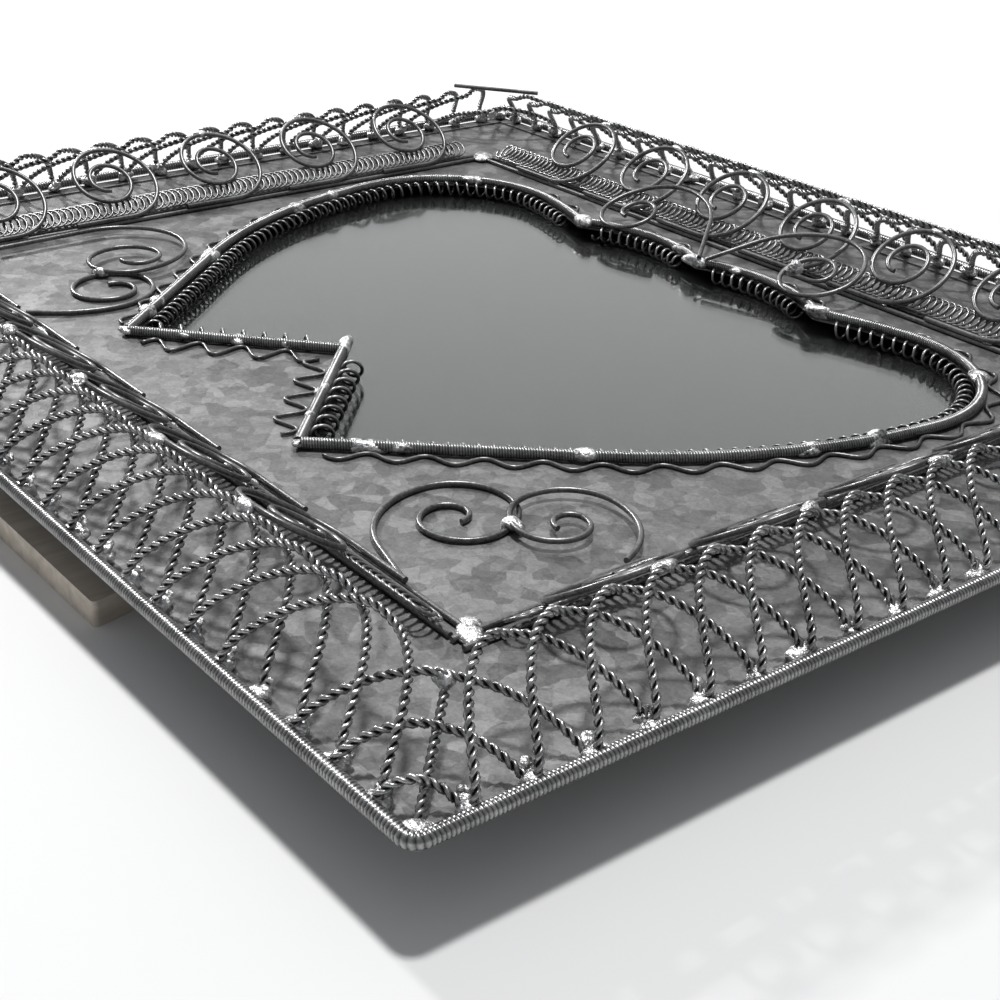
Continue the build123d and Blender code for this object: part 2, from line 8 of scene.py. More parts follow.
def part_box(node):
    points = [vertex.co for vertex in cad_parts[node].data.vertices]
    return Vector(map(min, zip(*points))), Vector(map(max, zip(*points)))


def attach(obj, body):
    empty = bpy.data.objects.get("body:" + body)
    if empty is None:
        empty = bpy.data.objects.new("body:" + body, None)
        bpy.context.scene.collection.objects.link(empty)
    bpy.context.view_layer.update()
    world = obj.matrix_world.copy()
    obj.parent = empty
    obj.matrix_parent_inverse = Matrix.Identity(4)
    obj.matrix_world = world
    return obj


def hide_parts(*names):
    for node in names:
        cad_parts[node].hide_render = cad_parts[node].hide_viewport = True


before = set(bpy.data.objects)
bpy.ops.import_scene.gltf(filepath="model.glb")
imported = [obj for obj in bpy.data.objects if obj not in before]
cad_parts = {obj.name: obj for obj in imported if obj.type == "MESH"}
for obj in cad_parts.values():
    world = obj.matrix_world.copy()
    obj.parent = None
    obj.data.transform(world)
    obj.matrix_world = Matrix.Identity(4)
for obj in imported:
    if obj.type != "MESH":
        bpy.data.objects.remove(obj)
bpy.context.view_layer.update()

# The tin face. One sheet of galvanised tin with a heart cut out of it and its edge folded
# over. Cold zinc leaves flat crystals a few millimetres wide, each a slightly other grey,
# and handling has dulled it unevenly.


class Field:
    """One number that varies over a surface. Sums and products of fields add Math nodes."""

    def __init__(self, finish, socket):
        self.finish = finish
        self.socket = socket

    def join(self, operation, first, second):
        return self.finish.field("ShaderNodeMath", {"operation": operation}, {0: first, 1: second})

    def __add__(self, other):
        return self.join("ADD", self, other)

    def __radd__(self, other):
        return self.join("ADD", other, self)

    def __sub__(self, other):
        return self.join("SUBTRACT", self, other)

    def __rsub__(self, other):
        return self.join("SUBTRACT", other, self)

    def __mul__(self, other):
        return self.join("MULTIPLY", self, other)

    def __rmul__(self, other):
        return self.join("MULTIPLY", other, self)

    def above(self, other):
        return self.join("GREATER_THAN", self, other)

    def below(self, other):
        return self.join("LESS_THAN", self, other)


class Finish:
    """A material made of nodes round one Principled shader."""

    def __init__(self, name, **constants):
        self.material = bpy.data.materials.new(name)
        self.material.use_nodes = True
        self.tree = self.material.node_tree
        self.shader = self.tree.nodes["Principled BSDF"]
        for socket, value in constants.items():
            self.shader.inputs[socket.replace("_", " ")].default_value = value
        self.place = self.node("ShaderNodeTexCoord", {}, {}).outputs["Object"]

    def node(self, kind, settings, inputs):
        made = self.tree.nodes.new(kind)
        for name, value in settings.items():
            if name == "stops":
                while len(made.color_ramp.elements) < len(value):
                    made.color_ramp.elements.new(1)
                for element, (place, colour) in zip(made.color_ramp.elements, value):
                    element.position = place
                    element.color = colour
            else:
                setattr(made, name, value)
        for name, value in inputs.items():
            self.feed(made.inputs[name], value)
        return made

    def feed(self, socket, value):
        if isinstance(value, Field):
            value = value.socket
        if isinstance(value, bpy.types.NodeSocket):
            self.tree.links.new(value, socket)
        else:
            socket.default_value = value

    def field(self, kind, settings, inputs, output=0):
        return Field(self, self.node(kind, settings, inputs).outputs[output])

    def noise(self, scale, detail=3.0, roughness=0.5, stretch=(1, 1, 1)):
        """Soft noise with so many bumps per metre, pulled along the axes by stretch."""
        place = self.node("ShaderNodeMapping", {}, {"Vector": self.place, "Scale": stretch})
        inputs = {"Vector": place.outputs[0], "Scale": scale, "Detail": detail, "Roughness": roughness}
        return self.field("ShaderNodeTexNoise", {}, inputs, "Fac")

    def cells(self, scale, output):
        """Cells of so many per metre: a random colour each, or the distance from its middle."""
        wobble = self.node("ShaderNodeTexNoise", {}, {"Vector": self.place, "Scale": scale * 0.7})
        sway = self.node("ShaderNodeVectorMath", {"operation": "SCALE"},
                         {0: wobble.outputs["Color"], "Scale": 0.6 / scale})
        place = self.node("ShaderNodeVectorMath", {"operation": "ADD"}, {0: self.place, 1: sway.outputs[0]})
        inputs = {"Vector": place.outputs[0], "Scale": scale}
        return self.node("ShaderNodeTexVoronoi", {"feature": "F1"}, inputs).outputs[output]

    def part(self, vector, axis):
        """One of the three numbers of a colour or a place."""
        return self.field("ShaderNodeSeparateXYZ", {}, {0: vector}, axis)

    def ramp(self, value, stops):
        return self.node("ShaderNodeValToRGB", {"stops": stops}, {"Fac": value}).outputs["Color"]

    def mix(self, factor, first, second):
        """From the first colour to the second as the factor goes from 0 to 1."""
        settings = {"data_type": "RGBA"}
        return self.node("ShaderNodeMix", settings, {0: factor, 6: first, 7: second}).outputs[2]

    def bump(self, height, depth, strength=1.0):
        """Relief of a depth in metres."""
        inputs = {"Height": height, "Distance": depth, "Strength": strength}
        self.feed(self.shader.inputs["Normal"], self.node("ShaderNodeBump", {}, inputs).outputs[0])

    def put(self, *nodes):
        """The finish on parts that keep the shape they came with."""
        for name in nodes:
            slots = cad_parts[name].data.materials
            slots.clear()
            slots.append(self.material)


def grey(level, warmth=0.0):
    """A grey of one brightness, with a little more red than blue where it is warm."""
    return (level * (1 + warmth), level, level * (1 - warmth), 1)


def finish_tin():
    tin = Finish("spangled_tin", Metallic=0.9)
    crystal = tin.part(tin.cells(240, "Color"), 0)
    facet = tin.part(tin.cells(420, "Color"), 1)
    cloud = tin.noise(35, 4)
    grain = tin.noise(1500, 3, 0.7)
    speck = tin.noise(600, 2, 0.6)
    level = 0.2 * crystal + 0.12 * facet + 0.23 * cloud + 0.3 * grain + 0.15 * speck
    colour = tin.ramp(level, [(0.3, grey(0.1)), (0.5, grey(0.19)), (0.68, grey(0.3))])
    tin.feed(tin.shader.inputs["Base Color"], colour)
    tin.feed(tin.shader.inputs["Roughness"], 0.42 + 0.12 * crystal + 0.1 * grain)
    tin.bump(0.5 * tin.noise(45, 4) + 0.1 * facet + 0.15 * grain, 0.0003)
    return tin


finish_tin().put("tin_panel", "rail_tabs")

# The rim. A rod goes round the edge of the tin, and fine wire is wound tightly round it,
# turn against turn, so that it reads as a thread. Both are dark steel, bright on top.

millimetre = 0.001
rim_half_width = 152.4
rim_half_height = 127.0
rim_corner = 2.2
rim_winding_radius = 1.4
rim_thread_depth = 0.3
rim_turn_length = 0.78
rim_core_radius = 0.9
rim_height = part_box("rim_core")[0][2] / millimetre + rim_core_radius


def finish_wire(name, dark, bright, metal, rough, groove_shade_level=0.0):
    """Steel wire: lighter where it was rubbed, with fine scratches, and near black with painted
    shade in the hollows between turns and between strands, as far as the mesh marks them."""
    wire = Finish(name, Metallic=metal)
    patch = wire.noise(110, 3)
    fleck = wire.noise(1500, 2)
    level = 0.5 * patch + 0.5 * fleck
    colour = wire.ramp(level, [(0.35, dark), (0.65, bright)])
    # The marked hollows and the sides where strands face each other are mixed towards near black: painted
    # shade.
    groove = wire.field("ShaderNodeAttribute", {"attribute_name": "groove"}, {}, "Fac")
    wire.feed(wire.shader.inputs["Base Color"], wire.mix(groove_shade_level * groove, colour, grey(0.008)))
    wire.feed(wire.shader.inputs["Roughness"], rough + 0.2 * patch)
    wire.bump(fleck, 0.00004)
    return wire


def unit(vectors):
    return vectors / np.linalg.norm(vectors, axis=-1, keepdims=True)


def even(line, count, looped=False):
    """The same line with evenly spaced points, found on its running length."""
    if looped:
        line = np.vstack([line, line[:1]])
    length = np.concatenate([[0], np.cumsum(np.linalg.norm(np.diff(line, axis=0), axis=1))])
    places = np.linspace(0, length[-1], count, endpoint=not looped)
    return np.stack([np.interp(places, length, line[:, axis]) for axis in range(3)], axis=1)


def reach(line, looped=False):
    """The length of a line."""
    ends = np.vstack([line, line[:1]]) if looped else line
    return np.linalg.norm(np.diff(ends, axis=0), axis=1).sum()


def ahead_of(line, looped=False):
    """The way the line goes at each point, from its two neighbours."""
    if looped:
        return unit(np.roll(line, -1, axis=0) - np.roll(line, 1, axis=0))
    return unit(np.gradient(line, axis=0))


def across_of(line, reference, looped=False):
    """The part of a reference direction that is square to the line."""
    ahead = ahead_of(line, looped)
    sideways = reference - (reference * ahead).sum(axis=1, keepdims=True) * ahead
    return unit(sideways), ahead


def rings(line, reference, radius, sides, looped=False):
    """A round section carried along a line: line + radius (cos a across + sin a up)."""
    across, ahead = across_of(line, reference, looped)
    up = np.cross(ahead, across)
    angle = np.linspace(0, 2 * pi, sides, endpoint=False)
    spread = across[:, None] * np.cos(angle)[None, :, None] + up[:, None] * np.sin(angle)[None, :, None]
    return line[:, None] + spread * np.broadcast_to(radius, (len(line), sides))[:, :, None]


def threaded(line, reference, radius, depth, turn_length, rows, sides, looped=False):
    """A rod with wire wound tightly round it: the radius follows the tops of the turns,
    radius - depth (1 - sqrt(1 - x x)), where x runs from -1 to 1 across each turn and the
    turns climb by one for each time round. A fourth number marks the hollows, where shade is painted."""
    turns = round(reach(line, looped) / turn_length)
    line = even(line, turns * rows + (0 if looped else 1), looped)
    along = np.arange(len(line))[:, None] / rows
    round_it = np.arange(sides)[None] / sides
    across = 2 * ((along - round_it) % 1) - 1
    wave = radius - depth * (1 - np.sqrt(1 - 0.95 * across * across))
    return np.dstack([rings(line, reference, wave, sides, looped), across ** 2])


def piece(name, surfaces, finish, nodes, looped=False, body="frame"):
    """One mesh of several grids of points, each closed round its section, and either
    joined end to end or closed by flat caps. Where a point has a fourth number, it is kept
    as a point attribute that marks where shade is painted."""
    points, corners, sizes, smooth = [], [], [], []
    first = 0
    for grid in surfaces:
        rows, sides = grid.shape[:2]
        number = first + np.arange(rows * sides).reshape(rows, sides)
        first += rows * sides
        below = number if looped else number[:-1]
        over = np.roll(number, -1, axis=0) if looped else number[1:]
        quads = np.stack([below, np.roll(below, -1, 1), np.roll(over, -1, 1), over], axis=-1)
        corners.append(quads.reshape(-1))
        sizes += [4] * (quads.size // 4)
        smooth += [True] * (quads.size // 4)
        if not looped:
            corners += [number[0][::-1], number[-1]]
            sizes += [sides, sides]
            smooth += [False, False]
        points.append(grid.reshape(-1, grid.shape[2]))
    points = np.concatenate(points)
    groove = points[:, 3] if points.shape[1] == 4 else np.zeros(len(points))
    points = points[:, :3] * millimetre
    corners = np.concatenate(corners)
    mesh = bpy.data.meshes.new(name)
    mesh.vertices.add(len(points))
    mesh.vertices.foreach_set("co", points.reshape(-1).astype(np.float32))
    mesh.loops.add(len(corners))
    mesh.loops.foreach_set("vertex_index", corners.astype(np.int32))
    mesh.polygons.add(len(sizes))
    mesh.polygons.foreach_set("loop_start", np.concatenate([[0], np.cumsum(sizes)[:-1]]).astype(np.int32))
    mesh.polygons.foreach_set("use_smooth", np.array(smooth))
    mesh.update(calc_edges=True)
    mesh.attributes.new("groove", "FLOAT", "POINT").data.foreach_set("value", groove.astype(np.float32))
    mesh.materials.append(finish.material)
    made = bpy.data.objects.new(name, mesh)
    bpy.context.scene.collection.objects.link(made)
    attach(made, body)
    if nodes:
        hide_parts(*nodes)
    return made


def rim_line(count):
    """A rectangle with rounded corners: quarter circles of the corner radius, joined."""
    angle = np.linspace(0, pi / 2, count)
    corner = np.stack([np.cos(angle), np.sin(angle), np.zeros(count)], axis=1) * rim_corner
    line = []
    for quarter, (x, y) in enumerate(((1, 1), (-1, 1), (-1, -1), (1, -1))):
        turn = quarter * pi / 2
        spin = np.array([[cos(turn), sin(turn), 0], [-sin(turn), cos(turn), 0], [0, 0, 1]])
        middle = np.array([x * (rim_half_width - rim_corner), y * (rim_half_height - rim_corner), rim_height])
        line.append(corner @ spin + middle)
    return np.concatenate(line)


upward = np.array([0.0, 0.0, 1.0])
wound_steel = finish_wire("wound_steel", grey(0.2), grey(0.46), 0.95, 0.22, 0.95)
wound_steel.put("rim_core", "heart_core")
rim_grid = threaded(rim_line(8), upward, rim_winding_radius, rim_thread_depth, rim_turn_length, 5, 12, True)
piece("rim_wound_wire", [rim_grid], wound_steel, ["rim_winding"], True)

# The lattice. Pairs of wire are twisted together and bent into arches, which stand on the
# rim and lean in over the tin. Each arch starts over its neighbours and ends under them.

strand_radius = 0.425
twist_length = 3.5
lattice_length = 22.5
lattice_foot_angle = 50
lattice_apex_angle = 25
lattice_foot_climb = 0.5
lattice_foot_inward = 2.1
lattice_foot_drop = 0.8
lattice_foot_reach = 6.0
lattice_fullness = 0.78
lattice_layer = 0.95
lattice_ramp_share = 0.16
corner_foot_step = 1.0
corner_far_foot_step = 2.8
corner_base_height = 2.0
corner_height_share = 0.21
corner_leg_start = 2.6
corner_leg_sink = 0.4
corner_leg_drop = 1.9


class Side:
    """One side of the frame, built as a right side and turned about the vertical."""

    def __init__(self, turn, reach, half_length, pitches, span, scroll_count):
        self.turn = turn
        self.reach = reach
        self.half_length = half_length
        self.pitches = pitches
        self.pitch = 2 * half_length / pitches
        self.span = span
        self.scroll_count = scroll_count


upright = (rim_half_width, rim_half_height, 23, 3, 5)
level = (rim_half_height, rim_half_width, 29, 4, 6)
sides = {"right": Side(0, *upright), "top": Side(90, *level),
         "left": Side(180, *upright), "bottom": Side(270, *level)}


def turned(points, side):
    """Points turned about the vertical with a side, and any fourth number left as it is."""
    turn = radians(side.turn)
    spin = np.array([[cos(turn), sin(turn), 0], [-sin(turn), cos(turn), 0], [0, 0, 1]])
    spun = points.copy()
    spun[..., :3] = points[..., :3] @ spin
    return spun


def surface_place(climb, offset):
    """A circular bend from the foot angle to the apex angle: how far in from the rim and
    how high it is after a climb along it, and the direction square to it."""
    bend = lattice_length / radians(lattice_foot_angle - lattice_apex_angle)
    foot = radians(lattice_foot_angle)
    angle = foot - climb / bend
    inward = bend * (np.sin(foot) - np.sin(angle)) - offset * np.sin(angle)
    height = bend * (np.cos(angle) - np.cos(foot)) + offset * np.cos(angle)
    return inward, height, angle


def arch_line(first, second, height, count):
    """An arch on the bend: it goes along by sin a and climbs by a power of cos a. It is
    lifted off the bend before its top and let under it after, and its feet are bent in to
    stand beside the rim. The second result is the square direction of the bend."""
    middle = (first + second) / 2
    half = (second - first) / 2
    inward_way = np.array([-half[1], half[0]]) / np.hypot(*half)
    last = np.arccos((lattice_foot_climb / height) ** (0.5 / lattice_fullness))
    turn = np.linspace(-last, last, count)
    share = np.sin(turn) / np.sin(last)
    climb = height * np.cos(turn) ** (2 * lattice_fullness)
    layer = -lattice_layer * np.sin(np.clip(share / lattice_ramp_share, -1, 1) * pi / 2)
    inward, rise, angle = surface_place(climb, layer)
    near_foot = np.clip(1 - climb / lattice_foot_reach, 0, 1) ** 2
    inward = inward + lattice_foot_inward * near_foot
    rise = rise - lattice_foot_drop * near_foot
    flat = middle + half * share[:, None] + inward_way * inward[:, None]
    line = np.column_stack([flat, rim_height + rise])
    square = np.column_stack([-inward_way * np.sin(angle)[:, None], np.cos(angle)])
    return line, square


def straight(start, end, count):
    return start + (end - start) * np.linspace(0, 1, count)[:, None]


def strand(line, reference, orbit, turns, start, wire_radius, sides):
    """A wire that winds round a line: line + orbit (cos a across + sin a up), the angle a
    growing evenly along it. A fourth number marks the side that faces the line, where shade is painted."""
    across, ahead = across_of(line, reference)
    up = np.cross(ahead, across)
    angle = start + 2 * pi * turns * np.linspace(0, 1, len(line))
    outward = across * np.cos(angle)[:, None] + up * np.sin(angle)[:, None]
    inner = 0.5 - 0.5 * np.cos(np.linspace(0, 2 * pi, sides, endpoint=False))
    return np.dstack([rings(line + orbit * outward, outward, wire_radius, sides),
                      np.tile(inner, (len(line), 1))])


def twisted_pair(line, square, points_per_turn=11, sides=6):
    """Two strands half a turn apart."""
    turns = reach(line) / twist_length
    count = round(turns * points_per_turn) + 1
    track = np.linspace(0, 1, len(line))
    length = np.concatenate([[0], np.cumsum(np.linalg.norm(np.diff(line, axis=0), axis=1))])
    at = np.interp(np.linspace(0, length[-1], count), length, track)
    fine = np.stack([np.interp(at, track, line[:, axis]) for axis in range(3)], axis=1)
    lean = np.stack([np.interp(at, track, square[:, axis]) for axis in range(3)], axis=1)
    return [strand(fine, lean, strand_radius, turns, start, strand_radius, sides) for start in (0, pi)]


def lattice(side):
    grids = []
    for start in range(1, side.pitches - side.span):
        low = np.array([side.reach, start * side.pitch - side.half_length])
        high = np.array([side.reach, (start + side.span) * side.pitch - side.half_length])
        grids += twisted_pair(*arch_line(low, high, lattice_length, 80))
    return [turned(grid, side) for grid in grids]


def corner_lattice(side, next_side):
    """Three small arches that bridge the corner at the end of a side, and a straight leg
    from the corner of the rim, under their tops. The second result is the last top."""
    grids = []
    for number in (1, 2, 3):
        low = np.array([side.reach, side.half_length - number * side.pitch + corner_foot_step])
        high = np.array([side.reach - number * next_side.pitch + corner_far_foot_step, side.half_length])
        height = corner_base_height + corner_height_share * np.hypot(*(high - low))
        line, square = arch_line(low, high, height, 41)
        grids += twisted_pair(line, square)
    corner = np.array([side.reach, side.half_length, rim_height - corner_leg_sink])
    top = line[20]
    ahead = unit((top - corner) * np.array([1, 1, 0]))
    leg = straight(corner + ahead * corner_leg_start, top - upward * corner_leg_drop, 40)
    grids += twisted_pair(leg, np.tile(upward, (40, 1)))
    return [turned(grid, side) for grid in grids], turned(np.array([top]), side)[0]


twisted_steel = finish_wire("twisted_steel", grey(0.25), grey(0.62), 0.95, 0.22, 0.85)
for name, side in sides.items():
    piece(f"lattice_wires_{name}", lattice(side), twisted_steel, [f"lattice_{name}"])
corner_tops = []
for corner, name, next_name in (
    ("top_right", "right", "top"),
    ("top_left", "top", "left"),
    ("bottom_left", "left", "bottom"),
    ("bottom_right", "bottom", "right"),
):
    grids, top = corner_lattice(sides[name], sides[next_name])
    corner_tops.append(top)
    piece(f"corner_wires_{corner}", grids, twisted_steel, [f"lattice_corner_{corner}"])

# The inner slope. Two plain wires lie on the tin along each side, a coil of fine wire is
# pressed flat beside them, and scrolls of plain wire lean from them up to the arches.

border_width = 39.4
base_wire_radius = 0.6
base_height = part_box("base_wires_right")[0][2] / millimetre + base_wire_radius
slope_lift = 1.25
slope_height = base_height + slope_lift
ridge_inward, ridge_rise, _ = surface_place(lattice_length, 0.0)
ridge_height = rim_height + ridge_rise
ridge_step = 1.65
slope_angle = np.arctan2(ridge_height - slope_height, border_width - ridge_inward - ridge_step)
strip_wire_radius = 0.34
strip_turn_length = 1.9
strip_middle = 4.6
strip_half_width = 2.8
strip_half_length = 2.5
strip_drop = 1.25
strip_lift = 0.3
strip_end_gap = 3.0

plain_steel = finish_wire("plain_steel", grey(0.1), grey(0.26), 0.95, 0.26)
for name in sides:
    plain_steel.put(f"side_scrolls_{name}", f"base_wires_{name}")
plain_steel.put("corner_tie", "corner_scrolls", "centre_scrolls")


def strip_line(side):
    """Loops pressed flat, each moved on by less than its own length: an even step along
    the side plus an ellipse, its near half lifted and its far half let down."""
    end = side.half_length - border_width - strip_end_gap - strip_half_length
    turns = round(2 * end / strip_turn_length)
    angle = np.linspace(0, 2 * pi * turns, turns * 18 + 1)
    along = np.linspace(-end, end, len(angle)) + strip_half_length * np.cos(angle)
    climb = strip_middle + strip_half_width * np.sin(angle)
    drop = strip_drop + strip_lift * np.cos(angle)
    x = side.reach - border_width + climb * cos(slope_angle) + drop * sin(slope_angle)
    z = slope_height + climb * sin(slope_angle) - drop * cos(slope_angle)
    return np.column_stack([x, along, z])


coil_steel = finish_wire("coil_steel", grey(0.12), grey(0.4), 0.95, 0.24)
slope_square = np.array([-sin(slope_angle), 0, cos(slope_angle)])
for name, side in sides.items():
    grid = turned(rings(strip_line(side), slope_square, strip_wire_radius, 6), side)
    piece(f"flat_coil_{name}", [grid], coil_steel, [f"coil_strip_{name}"])

# The heart. Six lengths of rod, each wound tightly with fine wire, are soldered into a
# heart with a notch below and a scalloped top, which lies on the edge of the opening.

base_half = np.array([rim_half_width, rim_half_height]) - border_width
notch = (0, -0.433)
tip = (0.327, -0.831)
flank = (0.655, -0.342)
widest = (0.925, 0.457)
crown = (0.584, 0.868)
cusp = (0.389, 0.799)
small_lobe = (0.186, 0.879)
cleft = (0, 0.829)
heart_winding_radius = 1.25
heart_thread_depth = 0.26
heart_turn_length = 0.56
heart_core_radius = 0.65
heart_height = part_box("heart_core")[0][2] / millimetre + heart_core_radius
heart_end_trim = 0.3


def shared(place):
    return np.array(place) * base_half


def tangent_arc(start, heading, end, count):
    """The circular arc that leaves a point with a heading and reaches another point: its
    turn is twice the angle between the heading and the chord."""
    chord = end - start
    turn = 2 * ((np.arctan2(chord[1], chord[0]) - heading + pi) % (2 * pi) - pi)
    radius = np.hypot(*chord) / (2 * np.sin(turn / 2))
    angle = heading + turn * np.linspace(0, 1, count)
    swing = np.column_stack([np.sin(angle) - np.sin(heading), np.cos(heading) - np.cos(angle)])
    return start + radius * swing, heading + turn


def heart_lines():
    """The three smooth stretches of the right half: the side of the notch, the flank with
    the big lobe, and the small lobe."""
    side = straight(shared(notch), shared(tip), 40)
    run = straight(shared(tip), shared(flank), 60)
    heading = np.arctan2(*(shared(flank) - shared(tip))[::-1])
    stretch = [run]
    for target in (widest, crown, cusp):
        arc, heading = tangent_arc(stretch[-1][-1], heading, shared(target), 60)
        stretch.append(arc[1:])
    # The small lobe is the circle through its two ends and its top
    half = shared(cleft) - shared(cusp)
    chord_heading = np.arctan2(half[1], half[0])
    to_top = shared(small_lobe) - shared(cusp)
    from_top = shared(cleft) - shared(small_lobe)
    bend = np.arctan2(from_top[1], from_top[0]) - np.arctan2(to_top[1], to_top[0])
    lobe, _ = tangent_arc(shared(cusp), chord_heading - bend, shared(cleft), 60)
    return [side, np.vstack(stretch), lobe]


def both_halves(lines):
    return lines + [line * np.array([-1.0, 1.0, 1.0]) for line in lines]


def lifted(flat, height):
    return np.column_stack([flat, np.broadcast_to(height, len(flat))])


def trimmed(line, start, end):
    """A line without a length at each end."""
    fine = even(line, 400)
    length = reach(line)
    keep = np.linspace(0, length, 400)
    return fine[(keep >= start) & (keep <= length - end)]


heart_grids = []
for stretch in both_halves([lifted(line, heart_height) for line in heart_lines()]):
    short = trimmed(stretch, heart_end_trim, heart_end_trim)
    heart_grids.append(threaded(short, upward, heart_winding_radius, heart_thread_depth,
                                heart_turn_length, 6, 12))
piece("heart_wound_wire", heart_grids, wound_steel, ["heart_winding"])

# The coil in the opening. A springy open coil of fine wire runs inside the heart, between
# the glass and the rod. A waved wire lies on the tin outside the rod.

coil_radius = 1.67
coil_wire_radius = 0.33
coil_turn_length = 3.05
notch_coil_radius = 2.2
notch_coil_wire_radius = 0.42
notch_coil_turn_length = 4.7
notch_coil_lift = 0.6
coil_inset = 3.35
coil_height = (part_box("heart_coil")[0][2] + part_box("heart_coil")[1][2]) / 2 / millimetre
coil_end_trim = 5.5
wire_gap = 0.05
wave_wire_radius = 0.45
wave_height = 1.6
wave_length = 11.75
notch_wave_height = 2.9
notch_wave_length = 10.0
wave_end_trim = 5.0
face_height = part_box("waved_wire")[0][2] / millimetre - wire_gap


def moved_out(flat, distance):
    """A flat line moved sideways, to its right as it goes, by a distance at each point."""
    ahead = unit(np.gradient(flat, axis=0))
    return flat + np.column_stack([ahead[:, 1], -ahead[:, 0]]) * np.broadcast_to(distance, len(flat))[:, None]


def coil_grid(line, radius, turn_length, wire_radius):
    turns = round(reach(line) / turn_length)
    fine = even(line, turns * 20 + 1)
    return strand(fine, upward, radius, turns, pi / 2, wire_radius, 8)


coil_grids = []
for number, flat in enumerate(heart_lines()):
    track = trimmed(lifted(flat, 0), coil_end_trim, coil_end_trim)[:, :2]
    line = lifted(moved_out(track, -coil_inset), coil_height)
    sizes = (coil_radius, coil_turn_length, coil_wire_radius)
    if number == 0:
        line = line + upward * notch_coil_lift
        sizes = (notch_coil_radius, notch_coil_turn_length, notch_coil_wire_radius)
    coil_grids += [coil_grid(half, *sizes) for half in both_halves([line])]
piece("heart_open_coil", coil_grids, wound_steel, ["heart_coil"])


def wave_line(flat, length, height):
    """A sine wave beside the rod, its troughs touching the rod."""
    track = trimmed(lifted(flat, 0), wave_end_trim, wave_end_trim)
    waves = round(reach(track) / length)
    track = even(track, waves * 16 + 1)[:, :2]
    middle = heart_winding_radius + wire_gap + wave_wire_radius + height
    phase = np.linspace(0, 2 * pi * waves, len(track))
    wave = moved_out(track, middle + height * np.sin(phase))
    return lifted(wave, face_height + wire_gap + wave_wire_radius)


side_flat, flank_flat, lobe_flat = heart_lines()
wave_lines = [
    wave_line(side_flat, notch_wave_length, notch_wave_height),
    wave_line(flank_flat, wave_length, wave_height),
    wave_line(lobe_flat, wave_length, wave_height),
]
wave_grids = [rings(line, upward, wave_wire_radius, 8) for line in both_halves(wave_lines)]
piece("waved_wire_soft", wave_grids, plain_steel, ["waved_wire"])

# The solder. Every joint of the wires holds a drop of solder, which ran along them before
# it set, so the drops are lumpy, bright and a little different from each other.

chance = np.random.default_rng(7)
rim_drop = (2.4, 1.8, 1.5)
rim_patches = ((1.9, -0.2, 0.95), (2.9, 0.7, 0.6), (3.8, 1.7, 0.42))
rim_corner_inset = 2.4
rim_corner_sink = 0.2
top_drop = (1.3, 1.3, 1.5)
top_drop_sink = 0.9
slope_drop = (2.2, 1.3, 1.1)
slope_drop_step = 1.6
scroll_pitches = 3
corner_drop = (3.6, 2.6, 1.0)
heart_drop = (3.2, 1.9, 1.6)
heart_drop_sink = 0.1
scroll_drop = (2.0, 1.6, 1.3)
scroll_drop_lift = 1.3
centre_drop_size = (1.9, 1.9, 1.9)


def drop(middle, size, floor, heading=0.0, rows=12, sides=18, lumps=9):
    """A ball with soft lumps and dents towards random directions, stretched by three sizes,
    turned to a heading and pressed flat on the floor under it."""
    climb = np.linspace(0.06, pi - 0.06, rows)[:, None]
    angle = np.linspace(0, 2 * pi, sides, endpoint=False)[None]
    wide = np.sin(climb)
    ball = np.stack([wide * np.cos(angle), wide * np.sin(angle), -np.cos(climb) + 0 * angle], axis=-1)
    ways = unit(chance.normal(size=(lumps, 3)))
    weights = chance.uniform(-0.45, 0.6, lumps)
    swell = 1 + (np.clip(ball @ ways.T, 0, 1) ** 5) @ weights
    form = ball * swell[..., None] * np.array(size) * chance.uniform(0.85, 1.12, 3)
    ahead = np.array([cos(heading), sin(heading), 0])
    aside = np.array([-sin(heading), cos(heading), 0])
    grid = middle + form[..., :1] * ahead + form[..., 1:2] * aside + form[..., 2:] * upward
    grid[..., 2] = np.maximum(grid[..., 2], floor)
    return grid


def finish_solder():
    solder = Finish("bright_solder", Metallic=1.0)
    patch = solder.noise(260, 4, 0.6)
    dull = solder.noise(1400, 3, 0.6)
    colour = solder.ramp(0.6 * patch + 0.4 * dull, [(0.38, grey(0.1)), (0.48, grey(0.5)), (0.58, grey(0.9))])
    solder.feed(solder.shader.inputs["Base Color"], colour)
    solder.feed(solder.shader.inputs["Roughness"], 0.2 + 0.35 * dull)
    solder.bump(patch + 0.5 * dull, 0.0007)
    return solder


solder = finish_solder()
hem_height = 0.55
hem_top = face_height + hem_height
rim_grids = []
for side in sides.values():
    for number in range(1, side.pitches):
        along = number * side.pitch - side.half_length
        for inward, lift, share in rim_patches:
            middle = np.array([side.reach - inward, along, rim_height + lift])
            rim_grids.append(turned(drop(middle, np.array(rim_drop) * share, hem_top, pi / 2), side))
    corner = np.array([side.reach - rim_corner_inset, side.half_length - rim_corner_inset,
                       rim_height - rim_corner_sink])
    rim_grids.append(turned(drop(corner, rim_drop, hem_top, 0.75 * pi), side))
for top in corner_tops:
    rim_grids.append(drop(top - upward * top_drop_sink, top_drop, 0))
piece("rim_drops", rim_grids, solder, ["rim_solder"])

slope_grids = []
for side in sides.values():
    for number in range(side.scroll_count):
        along = (number - (side.scroll_count - 1) / 2) * scroll_pitches * side.pitch
        low = np.array([side.reach - border_width + slope_drop_step, along, base_height])
        high = np.array([side.reach - ridge_inward - ridge_step / 2, along, ridge_height])
        slope_grids.append(turned(drop(low, slope_drop, face_height + wire_gap, pi / 2), side))
        slope_grids.append(turned(drop(high, slope_drop, 0, pi / 2), side))
    corner = np.array([side.reach - border_width, side.half_length - border_width, base_height])
    slope_grids.append(turned(drop(corner, corner_drop, face_height + wire_gap, 0.25 * pi), side))
piece("slope_drops", slope_grids, solder, ["slope_solder"])

